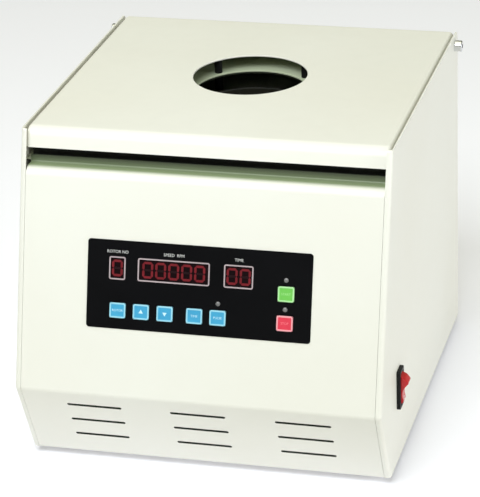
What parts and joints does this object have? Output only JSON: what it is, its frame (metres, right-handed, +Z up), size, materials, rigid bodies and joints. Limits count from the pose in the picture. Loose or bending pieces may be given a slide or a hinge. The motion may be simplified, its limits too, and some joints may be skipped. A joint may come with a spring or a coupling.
{
  "type": "benchtop laboratory centrifuge",
  "caption": "Bench-top laboratory centrifuge: sheet-metal case with a hinged lid and round port, leaning control panel, angle rotor in a steel bowl, side power rocker.",
  "frame": {"origin": "on the table, under the middle of the case", "axes": "+X right and +Y to the rear as seen from the control panel, +Z up"},
  "size_m": [0.3789, 0.4157, 0.333],
  "materials": {
    "case_paint": "ivory powder coat, satin",
    "liner_paint": "pale olive-ivory paint, satin",
    "deck_paint": "dull ivory paint, satin",
    "black_rubber": "matt moulded rubber",
    "zinc_steel": "zinc plated",
    "polished_chrome": "polished",
    "stainless": "spun stainless",
    "guard_steel": "mill finish",
    "rotor_aluminium": "turned and anodised",
    "nut_aluminium": "turned",
    "smoked_window": "smoked, polished",
    "overlay_black": "printed polyester, satin",
    "frame_grey": "light grey, satin",
    "display_red": "dark red filter, polished",
    "module_black": "moulded, matt",
    "board_green": "solder mask",
    "key_blue": "satin",
    "key_green": "satin",
    "key_red": "satin",
    "light_lens": "clear grey lens",
    "rocker_red": "moulded, glossy",
    "switch_black": "moulded, satin",
    "motor_paint": "dark enamel",
    "shaft_steel": "ground",
    "bush_brass": "turned",
    "fan_plastic": "moulded, matt",
    "sink_aluminium": "black anodised",
    "core_steel": "varnished laminations"
  },
  "bodies": {
    "cabinet": {"left_side_panel": "case_paint", "right_side_panel": "case_paint", "front_panel": "case_paint", "rear_panel": "case_paint", "base_plate": "zinc_steel", "top_deck": "deck_paint", "recess_seal": "black_rubber", "rubber_feet": "black_rubber", "case_screws": "zinc_steel", "hinge_pins": "polished_chrome", "lock_housing": "motor_paint", "lock_bracket": "zinc_steel", "chamber_bowl": "stainless", "chamber_gasket": "black_rubber", "shaft_boot": "black_rubber", "guard_ring": "guard_steel", "frame_posts": "zinc_steel", "motor_dampers": "black_rubber", "motor_plate": "zinc_steel", "motor_housing": "motor_paint", "motor_bearings": "shaft_steel", "control_overlay": "overlay_black", "display_frames": "frame_grey", "display_windows": "display_red", "display_modules": "module_black", "panel_board": "board_green", "board_standoffs": "zinc_steel", "indicator_lights": "light_lens", "switch_housing": "switch_black", "mains_inlet": "switch_black", "fuse_holder": "switch_black", "fan_frame": "fan_plastic", "fan_guard": "polished_chrome", "power_board": "board_green", "heat_sink": "sink_aluminium", "transformer": "core_steel"},
    "lid": {"lid_shell": "case_paint", "lid_liner": "liner_paint", "lid_spacers": "switch_black", "lid_window": "smoked_window", "window_ring": "switch_black", "lid_screws": "zinc_steel", "hinge_brackets": "zinc_steel", "hinge_bushes": "bush_brass", "lid_striker": "zinc_steel"},
    "rotor": {"motor_shaft": "shaft_steel", "rotor_body": "rotor_aluminium", "rotor_nut": "nut_aluminium"},
    "key_rotor": {"key_rotor": "key_blue"},
    "key_up": {"key_up": "key_blue"},
    "key_down": {"key_down": "key_blue"},
    "key_time": {"key_time": "key_blue"},
    "key_pulse": {"key_pulse": "key_blue"},
    "key_start": {"key_start": "key_green"},
    "key_stop": {"key_stop": "key_red"},
    "power_rocker": {"power_rocker": "rocker_red"},
    "lock_bolt": {"lock_bolt": "shaft_steel"},
    "fan_rotor": {"fan_rotor": "fan_plastic"}
  },
  "joints": [
    {"name": "lid_hinge", "type": "hinge", "parent": "cabinet", "child": "lid", "pos_m": [0, 0.186, 0.322], "axis": [-1, 0, 0], "range_deg": [0, 80]},
    {"name": "rotor_spin", "type": "hinge", "parent": "cabinet", "child": "rotor", "pos_m": [0, 0.041, 0.2], "axis": [0, 0, 1], "continuous": true},
    {"name": "key_rotor_press", "type": "slide", "parent": "cabinet", "child": "key_rotor", "axis": [0, 0.9598, -0.2807], "range_m": [0, 0.0006], "stiffness_N_per_m": 600, "springref_m": -0.001},
    {"name": "key_up_press", "type": "slide", "parent": "cabinet", "child": "key_up", "axis": [0, 0.9598, -0.2807], "range_m": [0, 0.0006], "stiffness_N_per_m": 600, "springref_m": -0.001},
    {"name": "key_down_press", "type": "slide", "parent": "cabinet", "child": "key_down", "axis": [0, 0.9598, -0.2807], "range_m": [0, 0.0006], "stiffness_N_per_m": 600, "springref_m": -0.001},
    {"name": "key_time_press", "type": "slide", "parent": "cabinet", "child": "key_time", "axis": [0, 0.9598, -0.2807], "range_m": [0, 0.0006], "stiffness_N_per_m": 600, "springref_m": -0.001},
    {"name": "key_pulse_press", "type": "slide", "parent": "cabinet", "child": "key_pulse", "axis": [0, 0.9598, -0.2807], "range_m": [0, 0.0006], "stiffness_N_per_m": 600, "springref_m": -0.001},
    {"name": "key_start_press", "type": "slide", "parent": "cabinet", "child": "key_start", "axis": [0, 0.9598, -0.2807], "range_m": [0, 0.0006], "stiffness_N_per_m": 600, "springref_m": -0.001},
    {"name": "key_stop_press", "type": "slide", "parent": "cabinet", "child": "key_stop", "axis": [0, 0.9598, -0.2807], "range_m": [0, 0.0006], "stiffness_N_per_m": 600, "springref_m": -0.001},
    {"name": "power_rocker_tilt", "type": "hinge", "parent": "cabinet", "child": "power_rocker", "pos_m": [0.177, -0.126, 0.085], "axis": [0, -1, 0], "range_deg": [0, 28]},
    {"name": "lock_bolt_slide", "type": "slide", "parent": "cabinet", "child": "lock_bolt", "axis": [1, 0, 0], "range_m": [0, 0.0115]},
    {"name": "fan_spin", "type": "hinge", "parent": "cabinet", "child": "fan_rotor", "pos_m": [-0.09, 0.19, 0.08], "axis": [0, 1, 0], "continuous": true}
  ]
}
